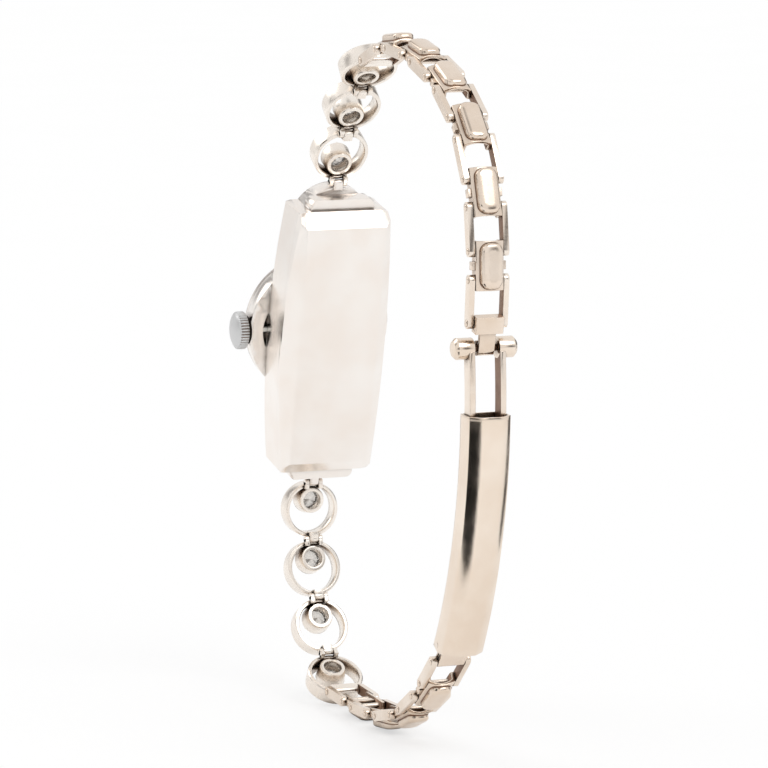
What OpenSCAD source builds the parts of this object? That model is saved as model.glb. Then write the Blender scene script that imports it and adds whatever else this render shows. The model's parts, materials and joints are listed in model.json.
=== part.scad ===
// Cocktail watch on a link bracelet, standing upright on the bracelet with its hook clasp closed.
// The dial faces -Y, the clasp is at +Y, 12 o'clock points up and the crown is at +X.
// Every bracelet pin lies along X. The origin is on the floor under the middle of the watch.

/* [Watch head] */
// Lean of the watch head toward the clasp, in degrees
head_lean = 13; // [8:1:18]
// Width of the case, from the 9 o'clock side to the 3 o'clock side
case_w = 9.6; // [9.4:0.1:11]
// Length of the case, from the 12 o'clock end to the 6 o'clock end
case_len = 24; // [23.4:0.2:26]
// Depth of the case, from its back to the front of its flange
case_depth = 6.2; // [5.9:0.1:6.8]
// Wall of the case
case_wall = 0.8; // [0.6:0.05:0.9]
// How far each long side of the case bulges at its middle
case_swell = 0.8; // [0.2:0.1:0.9]
// Radius of the case's upright corners
case_corner = 1.4; // [1:0.1:2]
// Depth of the snap-on back
back_depth = 1.6; // [1.4:0.1:1.8]
// Floor of the snap-on back
back_floor = 0.5; // [0.4:0.05:0.6]
// Bevel round the edge of the back
back_bevel = 1.2; // [0.6:0.1:1.3]
// Radius of the round flange under the bezel
flange_r = 6.4; // [6.2:0.1:7]
// Thickness of the flange
flange_t = 1.3; // [1.1:0.1:1.5]
// Width of the half-round lug at each end
lug_w = 7; // [5.6:0.2:7]
// Thickness of a lug
lug_t = 1.8; // [1.7:0.1:2]
// Width of the hood behind each lug
hood_w = 5.8; // [4.4:0.2:6]
// How far a hood stands out of the case's end
hood_out = 0.9; // [0.5:0.1:1.1]
// Distance from the case's end to the pin of the first link
lug_reach = 1.9; // [1.8:0.1:2.4]
// Depth of that pin behind the back of the flange
lug_drop = 1.6; // [1.5:0.1:1.8]

/* [Dial side] */
// Thickness of the dial
dial_t = 0.4; // [0.3:0.05:0.5]
// Height of the bezel above the flange
bezel_h = 1.3; // [1.2:0.1:1.6]
// Width of the bezel's ring
bezel_w = 2; // [1.9:0.1:2.1]
// Radius of each stone in the bezel
bezel_stone_r = 0.6; // [0.5:0.05:0.65]
// Number of stones in the bezel
bezel_stones_n = 20; // [16:1:22]
// Thickness of the crystal at its edge
crystal_t = 0.5; // [0.4:0.05:0.6]
// Rise of the crystal's dome
crystal_rise = 0.6; // [0.3:0.1:1]

/* [Crown] */
// Radius of the crown
crown_r = 1.65; // [1.3:0.05:1.7]
// Length of the crown
crown_len = 1.2; // [1.1:0.1:1.6]
// Gap between the flange's edge and the crown
crown_gap = 0.4; // [0.2:0.05:0.5]
// Number of grooves round the crown
crown_grooves = 24; // [18:1:30]
// Radius of the winding stem
stem_r = 0.25; // [0.2:0.05:0.25]

/* [Round links] */
// Distance between the pins of a round link
round_pitch = 5.1; // [5.05:0.05:5.3]
// Outer radius of a round link's ring
ring_r = 2.45; // [2.3:0.05:2.45]
// Wall of the ring
ring_wall = 0.35; // [0.25:0.05:0.45]
// Depth of the ring
ring_depth = 1.5; // [1.2:0.1:1.6]
// Outer radius of the collet that holds the stone
collet_r = 1.3; // [1.2:0.05:1.4]
// Radius of the collet's open back
collet_bore = 0.8; // [0.6:0.05:0.9]
// Radius of the stone in a link or a lug
stone_r = 1.1; // [0.95:0.05:1.15]

/* [Box chain] */
// Distance between the two pins of a side plate
plate_pitch = 3.5; // [3.3:0.1:4.2]
// Height of a side plate, outward from the wrist
plate_h = 0.9; // [0.8:0.05:1]
// Thickness of a side plate
plate_t = 0.45; // [0.35:0.05:0.55]
// Distance between the two pins of a block
block_pitch = 2.3; // [2.2:0.05:2.6]
// Length of a block
block_len = 4; // [3.8:0.1:4.2]
// Width of a block
block_w = 2.4; // [2.2:0.05:2.8]
// Sheet thickness of a block
block_wall = 0.28; // [0.2:0.02:0.35]
// Width of the raised pad on a block
pad_w = 1.8; // [1.6:0.1:1.9]
// Length of the raised pad
pad_len = 3.7; // [3.2:0.1:3.8]
// Height of the pad's top above the pins
pad_top = 1.25; // [1.1:0.05:1.5]
// Corner radius of the pad
pad_corner = 0.7; // [0.4:0.05:0.75]
// Radius of every bracelet pin
pin_r = 0.22; // [0.18:0.02:0.24]

/* [Clasp] */
// Width of the clasp box
box_w = 3.65; // [3.65:0.05:4.2]
// Width of the flat front of the clasp box
box_front_w = 1.8; // [1.6:0.1:2.2]
// Sheet thickness of the clasp box
box_wall = 0.2; // [0.16:0.02:0.2]
// Radius to which the clasp is bent
clasp_bend = 42; // [38:1:60]
// Straight distance from the clasp's hinge pin to its crossbar
clasp_chord = 25.7; // [24:0.1:27]
// Length of rail that stands out of the box, up to the crossbar
rail_out = 5.3; // [3:0.1:8]
// Length of rail inside the box
rail_in = 8.5; // [7:0.1:11]
// Clear width between the two rails
rail_gap = 2.15; // [2.05:0.05:2.15]
// Thickness of a rail
rail_t = 0.5; // [0.35:0.05:0.5]
// Radius of the clasp's knobs
knob_r = 0.88; // [0.8:0.02:1]
// Length of a knob
knob_len = 1.6; // [1.2:0.1:1.9]
// Radius of the crossbar that the hook grips
bar_r = 0.3; // [0.25:0.05:0.35]
// Distance from the hook's pin to the crossbar
hook_reach = 2.15; // [2:0.05:2.6]
// Width of the hook's tongue
hook_w = 1.4; // [1.2:0.1:1.7]
// Sheet thickness of the hook
hook_t = 0.32; // [0.24:0.04:0.36]
// Distance between the two pins of the clasp's end link
end_pitch = 2.4; // [2.2:0.1:2.8]

/* [Movement] */
// Radius of the balance wheel
balance_r = 1.9; // [1.7:0.05:2]
// Radius of an arbor
arbor_r = 0.12; // [0.1:0.01:0.14]

/* [Clearances] */
// Running clearance round a pin, a stem or a hand's tube
run_gap = 0.03; // [0.02:0.01:0.05]
// Side clearance between a link and its neighbour
side_gap = 0.05; // [0.04:0.01:0.08]
// Clearance at each end of the crossbar, where the closed loop is opened
open_gap = 0.08; // [0.06:0.01:0.12]

/* [Hidden] */
$fn = 48;
eps = 0.01;
upper_rounds = 3;
upper_blocks = 6;
lower_rounds = 4;
lower_blocks = 4;

// Bends of the bracelet as it stands: the heading of each link from the head to the clasp,
// in degrees from +Y toward +Z
upper_bends = [60, 49, 36, 20, 5.5, -5, -11, -16.5, -24, -34, -46.5, -60, -72, -82, -89, -95.5, -103];
lower_bends = [-90, -75.07, -63, -31.47, -2.5, -2, 2, 6, 13, 22, 30, 37, 41.5, 45.5];
clasp_heading = 77.6;

// Places in the plane of the bracelet, as [y, z] from the middle of the back's outer face
function toward(a) = [cos(a), sin(a)];
function walk(p, lengths, headings, i = 0) =
    i == len(lengths) ? [p]
    : concat([p], walk(p + lengths[i] * toward(headings[i]), lengths, headings, i + 1));
function ends(path) = path[len(path) - 1];
function spread(bends, n) =
    let (table = [for (k = [0 : len(bends) - 1]) [k / (len(bends) - 1), bends[k]]])
        [for (i = [0 : n - 1]) lookup(i / (n - 1), table)];
function chain_lengths(rounds, blocks) = concat(
    [for (i = [1 : rounds]) round_pitch],
    [for (i = [0 : 2 * blocks]) i % 2 == 0 ? plate_pitch : block_pitch]);

lug_y = case_len / 2 + lug_reach;
flange_z = case_depth - flange_t;
lug_z = flange_z - lug_drop;
head_up = toward(90 - head_lean);
head_out = toward(180 - head_lean);
upper_lug = lug_y * head_up + lug_z * head_out;
lower_lug = -lug_y * head_up + lug_z * head_out;
upper_lengths = concat(chain_lengths(upper_rounds, upper_blocks), [hook_reach]);
lower_lengths = concat(chain_lengths(lower_rounds, lower_blocks), [end_pitch, clasp_chord]);
upper_posed = spread(upper_bends, len(upper_lengths));
lower_posed = concat(spread(lower_bends, len(lower_lengths) - 1), [clasp_heading]);

// The two halves of the bracelet meet at the crossbar. A small extra bend, spread over
// every link, closes the loop whatever the lengths of the links are.
function upper_turned(c) = [for (a = upper_posed) a + c[0] * cos(a) + c[1] * sin(a)];
function lower_turned(c) = [for (a = lower_posed) a - c[0] * cos(a) - c[1] * sin(a)];
function opening(c) =
    ends(walk(upper_lug, upper_lengths, upper_turned(c)))
    - ends(walk(lower_lug, lower_lengths, lower_turned(c)));
function solved(a, b, r) =
    [r[0] * b[1] - r[1] * b[0], a[0] * r[1] - a[1] * r[0]] / (a[0] * b[1] - a[1] * b[0]);
function closed(c, n) =
    n == 0 ? c
    : let (e = opening(c), a = opening(c + [1, 0]) - e, b = opening(c + [0, 1]) - e)
        closed(c - solved(a, b, e), n - 1);
closing = closed([0, 0], 6);
upper_headings = upper_turned(closing);
lower_headings = lower_turned(closing);
upper_pins = walk(upper_lug, upper_lengths, upper_headings);
lower_pins = walk(lower_lug, lower_lengths, lower_headings);

// The clasp lies on an arc from its hinge pin to the crossbar
box_pin = lower_pins[len(lower_pins) - 2];
clasp_turn = lower_headings[len(lower_headings) - 1] - 90;
clasp_half = asin(clasp_chord / 2 / clasp_bend);
clasp_centre = box_pin + clasp_chord / 2 * toward(clasp_turn + 90)
    - clasp_bend * cos(clasp_half) * toward(clasp_turn);
hinge_angle = clasp_turn - clasp_half;
bar_angle = clasp_turn + clasp_half;
function arc(length) = length / clasp_bend * 180 / PI;

// Sizes that follow
chain_gap = block_w + 2 * side_gap;
chain_w = chain_gap + 2 * plate_t;
block_side = plate_h / 2;
block_rise = 0.3;
ring_low = 0.3;
loop_r = ring_low;
loop_w = 0.8;
ear_w = 0.35;
ring_mid = round_pitch / 2;
ring_top = ring_low + ring_depth;
collet_y = ring_mid - ring_r + ring_wall + collet_r - 0.05;
stone_deep = 0.85;
stone_crown = 0.35;
box_low = -0.65;
box_shoulder = 1.2;
box_top = 1.9;
box_tail = 0.9;
box_open = 1.8;
knob_round = 0.25;
rail_low = box_low + box_wall + side_gap;
rail_high = knob_r - side_gap;
rail_tie = 1.2;
mouth_angle = bar_angle - arc(rail_out);
crown_cap = 0.4;
crown_grip = 0.65 * crown_len;
groove_r = 0.1;
stem_end = 1.6;
lug_plate_r = lug_w / 2;
lug_plate_y = lug_y - 0.4 - lug_plate_r;
lug_low = lug_z - 0.1;
lug_stone_y = lug_y - 0.7 - stone_r;
swell_r = (case_len * case_len / 4 + case_swell * case_swell) / (2 * case_swell);
cavity_corner = case_corner - case_wall / 2;
hollow_w = case_w - case_wall - 2 * back_bevel;
hollow_len = case_len - case_wall - 2 * back_bevel;
deck_z = flange_z - 0.6;
dial_z = case_depth - 0.6;
stem_z = dial_z - 0.4;
crown_x = flange_r + crown_gap;
recess_out = 0.4;
recess_len = 3.2;
recess_r = (recess_len * recess_len / 4 + recess_out * recess_out) / (2 * recess_out);
bezel_r = flange_r - 0.4;
bezel_in = bezel_r - bezel_w;
dial_r = bezel_in;
crystal_lip = 0.4;
crystal_z = case_depth + 0.8;
bezel_top = case_depth + bezel_h;
bezel_stone_at = bezel_in + crystal_lip + (bezel_w - crystal_lip) / 2;

// The movement's layers lie between its bridge and its main plate. Its wheels are drawn for
// the hollow of the usual back, and are larger or smaller with it.
plate_room = 0.15;
boss_r = 0.4 * case_w;
bridge_w = hollow_w - 0.4;
bridge_z = back_floor + 0.4;
bridge_t = 0.6;
plate_z = deck_z - 0.9;
layers_z = bridge_z + bridge_t;
layers = plate_z - layers_z;
room = min(hollow_len / 20.8, hollow_w / 6.4);
wheel_t = 0.2;
centre_z = layers_z + 0.23 * layers;
third_z = layers_z + 0.45 * layers;
fourth_z = layers_z + 0.64 * layers;
escape_z = layers_z + 0.32 * layers;
balance_z = layers_z + 0.57 * layers;
barrel_h = 0.36 * layers;
pinion_h = 0.24 * layers;
tooth = 0.09;
barrel_teeth = 48;
barrel_m = 0.125 * room;
centre_leaves = 8;
centre_teeth = 48;
centre_m = 0.09 * room;
third_leaves = 6;
third_teeth = 45;
third_m = 0.08 * room;
fourth_leaves = 6;
fourth_teeth = 60;
fourth_m = 0.05 * room;
escape_leaves = 6;
escape_r = room;
pallet_r = 0.75 * room;
barrel_at = [0, barrel_m * (barrel_teeth + centre_leaves) / 2];
third_at = centre_m * (centre_teeth + third_leaves) / 2 * toward(-125);
fourth_at = third_at + third_m * (third_teeth + fourth_leaves) / 2 * toward(-50);
escape_at = fourth_at + fourth_m * (fourth_teeth + escape_leaves) / 2 * toward(-60);
pallet_at = escape_at + 1.45 * escape_r * toward(-170);
balance_at = [0, -7.6 * room];
rim_r = balance_r * room;

// The watch stands on its lowest pads, and the origin is under the middle of its outer box
function pad_foot(i) =
    (lower_pins[i] + lower_pins[i + 1])[1] / 2
    - pad_top * cos(lower_headings[i]) - pad_len / 2 * abs(sin(lower_headings[i]));
floor_z = min([for (i = [lower_rounds + 1 : 2 : lower_rounds + 2 * lower_blocks - 1]) pad_foot(i)]);
back_y = max([for (p = upper_pins) p[0]]) + pad_top;
bezel_foot = bezel_top * head_out - bezel_r * head_up;
front_y = min(bezel_foot[0], min([for (p = lower_pins) p[0]]) - ring_top);
middle_y = (back_y + front_y) / 2;
middle_x = (crown_x + crown_len - flange_r) / 2;

// Frames
module standing() {
    translate([-middle_x, -middle_y, -floor_z]) children();
}

// In the head's frame x is 3 o'clock, y is 12 o'clock and z comes out of the dial
module on_head() {
    standing() rotate([90 - head_lean, 0, 0]) children();
}

// In a link's frame y runs toward the clasp from the link's first pin and z is away from the wrist
module on_upper(i) {
    standing() translate([0, upper_pins[i][0], upper_pins[i][1]])
        rotate([upper_headings[i], 0, 0]) children();
}

module on_lower(i) {
    standing() translate([0, lower_pins[i][0], lower_pins[i][1]])
        rotate([lower_headings[i], 0, 0]) mirror([0, 0, 1]) children();
}

// On the clasp's arc y is away from the wrist and z runs up along the arc
module on_clasp(angle) {
    standing() translate([0, clasp_centre[0], clasp_centre[1]])
        rotate([angle, 0, 0]) translate([0, clasp_bend, 0]) children();
}

// Sweeps a profile of [height over the arc, x] from one angle to the other
module clasp_sweep(from, to) {
    standing() translate([0, clasp_centre[0], clasp_centre[1]]) rotate([from, 0, 0])
        rotate([90, 0, 90]) rotate_extrude(angle = to - from, $fn = 360)
            translate([clasp_bend, 0]) children();
}

// Shared shapes
module across(w) {
    rotate([90, 0, 90]) translate([0, 0, -w / 2]) linear_extrude(w) children();
}

module rod(r, w) {
    across(w) circle(r);
}

module rounded(w, l, r) {
    square([w - 2 * r, l], center = true);
    square([w, l - 2 * r], center = true);
    for (x = [-1, 1], y = [-1, 1]) translate([x * (w / 2 - r), y * (l / 2 - r)]) circle(r);
}

module rounded_box(w, l, r, h) {
    linear_extrude(h) rounded(w, l, r);
}

module stone(r, deep = stone_deep, top = stone_crown) {
    translate([0, 0, -deep]) cylinder(h = deep, r1 = 0.05, r2 = r);
    cylinder(h = top, r1 = r, r2 = 0.6 * r);
}

module stone_seat(r, deep = stone_deep) {
    translate([0, 0, -deep]) cylinder(h = deep, r1 = 0.05, r2 = r);
    cylinder(h = 1, r = r);
}

module gear(teeth, m, t) {
    r = teeth * m / 2;
    step = 360 / teeth;
    corners = [[-0.3, -1], [-0.14, 0.6], [0.14, 0.6], [0.3, -1]];
    linear_extrude(t) polygon([for (i = [0 : teeth - 1], k = corners)
        (r + k[1] * min(tooth, m)) * toward((i + k[0]) * step)]);
}

module at(p, z = 0) {
    translate([p[0], p[1], z]) children();
}

// The case's outline with its bulging sides, drawn smaller all round by an inset
module case_outline(inset = 0) {
    intersection() {
        rounded(case_w - 2 * inset, case_len - 2 * inset, case_corner - inset / 2);
        translate([swell_r - case_w / 2, 0]) circle(swell_r - inset, $fn = 720);
        translate([case_w / 2 - swell_r, 0]) circle(swell_r - inset, $fn = 720);
    }
}

module bevelled_case(h) {
    intersection() {
        linear_extrude(h) case_outline();
        rotate([90, 0, 0]) translate([0, 0, -case_len]) linear_extrude(2 * case_len) bevel_profile(case_w, h);
        rotate([90, 0, 90]) translate([0, 0, -case_w]) linear_extrude(2 * case_w) bevel_profile(case_len, h);
    }
}

module bevel_profile(w, h) {
    polygon([[-w / 2, h], [-w / 2, back_bevel], [-w / 2 + back_bevel, 0],
        [w / 2 - back_bevel, 0], [w / 2, back_bevel], [w / 2, h]]);
}

// Watch head
module hood() {
    translate([0, case_len / 2 + hood_out - hood_w / 2, back_depth])
        rounded_box(hood_w, hood_w, 0.6, lug_low - back_depth);
}

module lug() {
    intersection() {
        at([0, lug_plate_y], lug_low) cylinder(h = lug_t, r = lug_plate_r);
        at([-lug_w, case_len / 2 - case_wall], lug_low - 1) cube([2 * lug_w, lug_w, lug_t + 2]);
    }
    at([0, lug_y], lug_z) rod(loop_r, loop_w);
    at([-loop_w / 2, lug_y - 0.6], lug_z - loop_r) cube([loop_w, 0.6, 2 * loop_r]);
}

// The shallow crescent in the back of the flange, beside the case's wall behind the crown
module crown_recess() {
    intersection() {
        at([case_w / 2 + recess_out - recess_r, 0], flange_z - eps) cylinder(h = 0.7, r = recess_r);
        at([case_w / 2, -recess_len / 2], flange_z - 1) cube([recess_out, recess_len, 2]);
    }
}

module case_body() {
    color("wheat") on_head() difference() {
        union() {
            translate([0, 0, back_depth]) linear_extrude(flange_z - back_depth) case_outline();
            translate([0, 0, flange_z]) cylinder(h = flange_t, r = flange_r);
            for (s = [0, 180]) rotate([0, 0, s]) {
                hood();
                lug();
            }
        }
        translate([0, 0, back_depth - 1]) linear_extrude(deck_z - back_depth + 1) case_outline(case_wall);
        translate([0, 0, deck_z - eps]) cylinder(h = flange_t + 1, r = boss_r + 0.1);
        translate([0, 0, dial_z]) cylinder(h = 2, r = dial_r + side_gap);
        translate([crown_x / 2, 0, stem_z]) rod(stem_r + run_gap, crown_x);
        crown_recess();
        for (s = [0, 180]) rotate([0, 0, s]) {
            at([0, lug_y], lug_z) rod(pin_r + run_gap, loop_w + 1);
            at([0, lug_stone_y], lug_low + lug_t) stone_seat(stone_r);
        }
    }
}

module case_back() {
    color("wheat") on_head() difference() {
        bevelled_case(back_depth);
        translate([0, 0, back_floor]) rounded_box(hollow_w, hollow_len, cavity_corner, back_depth);
    }
}

module bezel() {
    color("gold") on_head() difference() {
        translate([0, 0, case_depth]) cylinder(h = bezel_h, r = bezel_r);
        translate([0, 0, case_depth - 1]) cylinder(h = bezel_h + 2, r = bezel_in);
        translate([0, 0, crystal_z]) cylinder(h = bezel_h, r = bezel_in + crystal_lip);
        bezel_places() stone_seat(bezel_stone_r, 0.7 * bezel_stone_r);
    }
}

module bezel_places() {
    for (i = [0 : bezel_stones_n - 1]) rotate([0, 0, i * 360 / bezel_stones_n])
        translate([0, bezel_stone_at, bezel_top - 0.1]) children();
}

module bezel_stones() {
    color("white") on_head() bezel_places() stone(bezel_stone_r, 0.7 * bezel_stone_r, 0.3);
}

module lug_stones() {
    color("white") on_head() for (s = [0, 180]) rotate([0, 0, s])
        at([0, lug_stone_y], lug_low + lug_t) stone(stone_r);
}

module crystal() {
    r = bezel_in + crystal_lip;
    dome_r = (r * r + crystal_rise * crystal_rise) / (2 * crystal_rise);
    color("lightcyan", 0.4) on_head() translate([0, 0, crystal_z]) {
        cylinder(h = crystal_t, r = r);
        translate([0, 0, crystal_t]) intersection() {
            cylinder(h = crystal_rise + 1, r = r);
            translate([0, 0, crystal_rise - dome_r]) sphere(dome_r, $fn = 180);
        }
    }
}

module dial() {
    color("ivory") on_head() translate([0, 0, dial_z]) difference() {
        cylinder(h = dial_t, r = dial_r);
        translate([0, 0, -1]) cylinder(h = 3, r = 0.5);
    }
}

module dial_markers() {
    color("goldenrod") on_head() for (i = [0 : 11]) rotate([0, 0, i * 30])
        translate([-0.09, dial_r - (i % 3 == 0 ? 1.5 : 1.1), dial_z + dial_t])
            cube([0.18, i % 3 == 0 ? 1 : 0.6, 0.08]);
}

module hand(length, width, z, t, tube_r, bore_r) {
    difference() {
        union() {
            translate([0, 0, z]) linear_extrude(t) polygon([[-width / 2, 0], [-width / 4, length],
                [width / 4, length], [width / 2, 0], [width / 4, -0.8], [-width / 4, -0.8]]);
            translate([0, 0, z]) cylinder(h = t, r = tube_r + 0.15);
            translate([0, 0, dial_z + dial_t - 0.2]) cylinder(h = z + t - dial_z - dial_t + 0.2, r = tube_r);
        }
        translate([0, 0, dial_z - 1]) cylinder(h = 4, r = bore_r);
    }
}

module hour_hand() {
    color("darkgoldenrod") on_head()
        hand(2.2, 0.5, dial_z + dial_t + 0.2, 0.12, 0.4, 0.2 + run_gap);
}

module minute_hand() {
    color("darkgoldenrod") on_head() hand(3.4, 0.4, dial_z + dial_t + 0.5, 0.12, 0.2, arbor_r);
}

// Movement
module main_plate() {
    color("silver") on_head() difference() {
        union() {
            translate([0, 0, plate_z]) linear_extrude(deck_z - plate_z) case_outline(case_wall + plate_room);
            translate([0, 0, plate_z]) cylinder(h = dial_z - plate_z, r = boss_r);
        }
        for (p = [[0, 0], barrel_at, third_at, fourth_at, escape_at, pallet_at, balance_at])
            at(p, plate_z - 1) cylinder(h = dial_z - plate_z + 2, r = arbor_r + run_gap);
        translate([stem_end - 0.1 + boss_r / 2, 0, stem_z]) rod(stem_r + 0.05, boss_r);
    }
}

module post(p, r) {
    at(p, bridge_z) cylinder(h = plate_z - bridge_z, r = r);
}

module train_bridge() {
    color("silver") on_head() difference() {
        union() {
            translate([0, 2.9 * room, bridge_z]) rounded_box(bridge_w, 14.4 * room, 0.6, bridge_t);
            for (p = [[-2.6, 9.3], [2.6, 9.3], [2.6, -3.4], [-2.65, 0.6]]) post(p * room, 0.3 * room);
        }
        for (p = [[0, 0], barrel_at, third_at, fourth_at])
            at(p, 0) cylinder(h = plate_z, r = arbor_r + run_gap);
    }
}

module balance_cock() {
    color("silver") on_head() difference() {
        union() {
            translate([0, -7.3 * room, bridge_z]) rounded_box(3 * room, 5.5 * room, 0.6 * room, bridge_t);
            translate([1.3 * room, -5 * room, bridge_z])
                rounded_box(3.2 * room, 0.9 * room, 0.3 * room, bridge_t);
            post([0, -9.8 * room], 0.2 * room);
            post([2.6 * room, -5 * room], 0.25 * room);
        }
        for (p = [escape_at, pallet_at, balance_at]) at(p, 0) cylinder(h = plate_z, r = arbor_r + run_gap);
    }
}

module arbor(p, from = bridge_z, to = plate_z + 0.5) {
    at(p, from) cylinder(h = to - from, r = arbor_r);
}

module mainspring_barrel() {
    color("goldenrod") on_head() {
        arbor(barrel_at);
        at(barrel_at, third_z) gear(barrel_teeth, barrel_m, wheel_t);
        at(barrel_at, third_z) cylinder(h = barrel_h, r = barrel_m * barrel_teeth / 2 - 0.2);
    }
}

module centre_wheel() {
    color("goldenrod") on_head() {
        arbor([0, 0], to = dial_z + dial_t + 0.62);
        at([0, 0], centre_z) wheel(centre_teeth, centre_m);
        at([0, 0], third_z - 0.05) gear(centre_leaves, barrel_m, pinion_h);
    }
}

module wheel(teeth, m) {
    rim = teeth * m / 2 - 0.35;
    difference() {
        gear(teeth, m, wheel_t);
        translate([0, 0, -1]) linear_extrude(3) difference() {
            circle(rim);
            circle(0.3);
            for (a = [0, 60, 120]) rotate(a) square([2 * rim + 1, 0.2], center = true);
        }
    }
}

module third_wheel() {
    color("goldenrod") on_head() {
        arbor(third_at);
        at(third_at, centre_z - 0.1) gear(third_leaves, centre_m, pinion_h);
        at(third_at, third_z) wheel(third_teeth, third_m);
    }
}

module fourth_wheel() {
    color("goldenrod") on_head() {
        arbor(fourth_at);
        at(fourth_at, third_z - 0.05) gear(fourth_leaves, third_m, pinion_h);
        at(fourth_at, fourth_z) wheel(fourth_teeth, fourth_m);
    }
}

module escape_wheel() {
    color("goldenrod") on_head() {
        arbor(escape_at);
        at(escape_at, fourth_z - 0.05) gear(escape_leaves, fourth_m, 0.2 * layers);
        at(escape_at, escape_z) linear_extrude(wheel_t)
            polygon([for (i = [0 : 14], k = [[0, 1], [0.45, 0.78]])
                k[1] * escape_r * toward((i + k[0]) * 24)]);
    }
}

module pallet_fork() {
    color("lightsteelblue") on_head() {
        arbor(pallet_at);
        at(pallet_at, escape_z) linear_extrude(wheel_t) {
            circle(0.3 * room);
            rotate(10) {
                translate([-0.1, -pallet_r]) square([0.2, 2 * pallet_r]);
                for (y = [-pallet_r, 0.8 * pallet_r]) translate([0, y]) square([0.45, 0.2] * pallet_r);
            }
            rotate(-74) translate([0, -0.08]) square([1.85 * room, 0.16]);
        }
    }
}

module balance_wheel() {
    color("gold") on_head() {
        arbor(balance_at);
        at(balance_at, balance_z) linear_extrude(0.16 * layers) {
            difference() {
                circle(rim_r);
                circle(rim_r - 0.3);
            }
            circle(0.35);
            square([2 * rim_r - 0.2, 0.3], center = true);
        }
    }
}

module winding_stem() {
    stem_len = crown_x + crown_len - crown_cap - stem_end;
    color("silver") on_head() translate([stem_end + stem_len / 2, 0, stem_z]) rod(stem_r, stem_len);
}

module crown() {
    color("gray") on_head() translate([crown_x, 0, stem_z]) rotate([90, 0, 90]) difference() {
        union() {
            linear_extrude(crown_grip) difference() {
                circle(crown_r);
                for (i = [0 : crown_grooves - 1]) rotate(i * 360 / crown_grooves)
                    translate([crown_r, 0]) circle(groove_r, $fn = 16);
            }
            translate([0, 0, crown_grip])
                cylinder(h = crown_len - crown_grip, r1 = crown_r - groove_r, r2 = crown_r - 0.4);
        }
        translate([0, 0, -1]) cylinder(h = crown_len - crown_cap + 1, r = stem_r + run_gap);
    }
}

// Round links with their stones
module round_link(end_w) {
    difference() {
        union() {
            translate([0, ring_mid, ring_low]) linear_extrude(ring_depth) difference() {
                circle(ring_r);
                circle(ring_r - ring_wall);
            }
            translate([0, collet_y, ring_low]) cylinder(h = ring_depth, r = collet_r);
            for (s = [-1, 1]) translate([s * (loop_w / 2 + side_gap + ear_w / 2), 0, 0]) {
                rod(loop_r, ear_w);
                translate([-ear_w / 2, 0, -loop_r]) cube([ear_w, 0.6, 2 * loop_r]);
                translate([-ear_w / 2, 0.3, 0]) cube([ear_w, 0.3, ring_low + 0.2]);
            }
            rod(pin_r, loop_w + 2 * side_gap + ear_w);
            translate([0, round_pitch, 0]) rod(loop_r, end_w);
            translate([-end_w / 2, round_pitch - 0.6, -loop_r]) cube([end_w, 0.6, 2 * loop_r]);
            translate([-loop_w / 2, round_pitch - 0.6, 0]) cube([loop_w, 0.3, ring_low + 0.2]);
        }
        translate([0, round_pitch, 0]) rod(pin_r + run_gap, end_w + 1);
        translate([0, collet_y, ring_top - 0.1]) stone_seat(stone_r);
        translate([0, collet_y, 0]) cylinder(h = ring_top, r = collet_bore);
    }
    translate([0, collet_y, ring_top - 0.1]) stone(stone_r);
}

function end_width(i, n) = i == n ? block_w : loop_w;

module upper_round_link(i) {
    color("burlywood") on_upper(i - 1) round_link(end_width(i, upper_rounds));
}

module lower_round_link(i) {
    color("burlywood") on_lower(i - 1) round_link(end_width(i, lower_rounds));
}

// Box chain
module plate_pair() {
    for (s = [-1, 1]) translate([s * (chain_gap + plate_t) / 2, 0, 0]) across(plate_t) {
        circle(plate_h / 2);
        translate([plate_pitch, 0]) circle(plate_h / 2);
        translate([0, -plate_h / 2]) square([plate_pitch, plate_h]);
    }
    for (y = [0, plate_pitch]) translate([0, y, 0]) rod(pin_r, chain_gap + plate_t);
}

module arched(w, rise, low, side) {
    arch_r = (w * w / 4 + rise * rise) / (2 * rise);
    intersection() {
        translate([-w / 2, low]) square([w, side + rise - low]);
        translate([0, side + rise - arch_r]) circle(arch_r, $fn = 96);
    }
}

module block() {
    difference() {
        union() {
            translate([0, block_pitch / 2 + block_len / 2, 0]) rotate([90, 0, 0]) linear_extrude(block_len)
                arched(block_w, block_rise, -plate_h / 2, block_side);
            translate([0, block_pitch / 2, block_side])
                rounded_box(pad_w, pad_len, pad_corner, pad_top - block_side);
            translate([0, block_pitch / 2, 0]) cube([chain_gap + plate_t, 0.7, 0.6], center = true);
        }
        translate([0, block_pitch / 2 + block_len, 0]) rotate([90, 0, 0]) linear_extrude(2 * block_len)
            arched(block_w - 2 * block_wall, block_rise, -plate_h, block_side - block_wall);
        for (y = [0, block_pitch]) translate([0, y, 0]) rod(pin_r + run_gap, block_w + 1);
    }
}

module upper_plates(i) {
    color("peru") on_upper(upper_rounds + 2 * i - 2) plate_pair();
}

module upper_block(i) {
    color("tan") on_upper(upper_rounds + 2 * i - 1) block();
}

module lower_plates(i) {
    color("peru") on_lower(lower_rounds + 2 * i - 2) plate_pair();
}

module lower_block(i) {
    color("tan") on_lower(lower_rounds + 2 * i - 1) block();
}

// Clasp
module clasp_hook() {
    color("tan") on_upper(len(upper_lengths) - 1) difference() {
        union() {
            across(block_w) {
                circle(plate_h / 2);
                translate([-0.7, 0]) square([1.4, 0.9]);
            }
            across(hook_w) translate([hook_reach, 0]) difference() {
                union() {
                    circle(bar_r + hook_t);
                    translate([-hook_reach, bar_r]) square([hook_reach, hook_t]);
                }
                translate([-2, 0]) square([2, bar_r]);
            }
        }
        rod(pin_r + run_gap, block_w + 1);
        translate([0, hook_reach, 0]) rod(bar_r, block_w + 1);
    }
}

module clasp_crossbar() {
    color("peru") on_clasp(bar_angle) rod(bar_r, rail_gap - 2 * open_gap);
}

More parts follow.
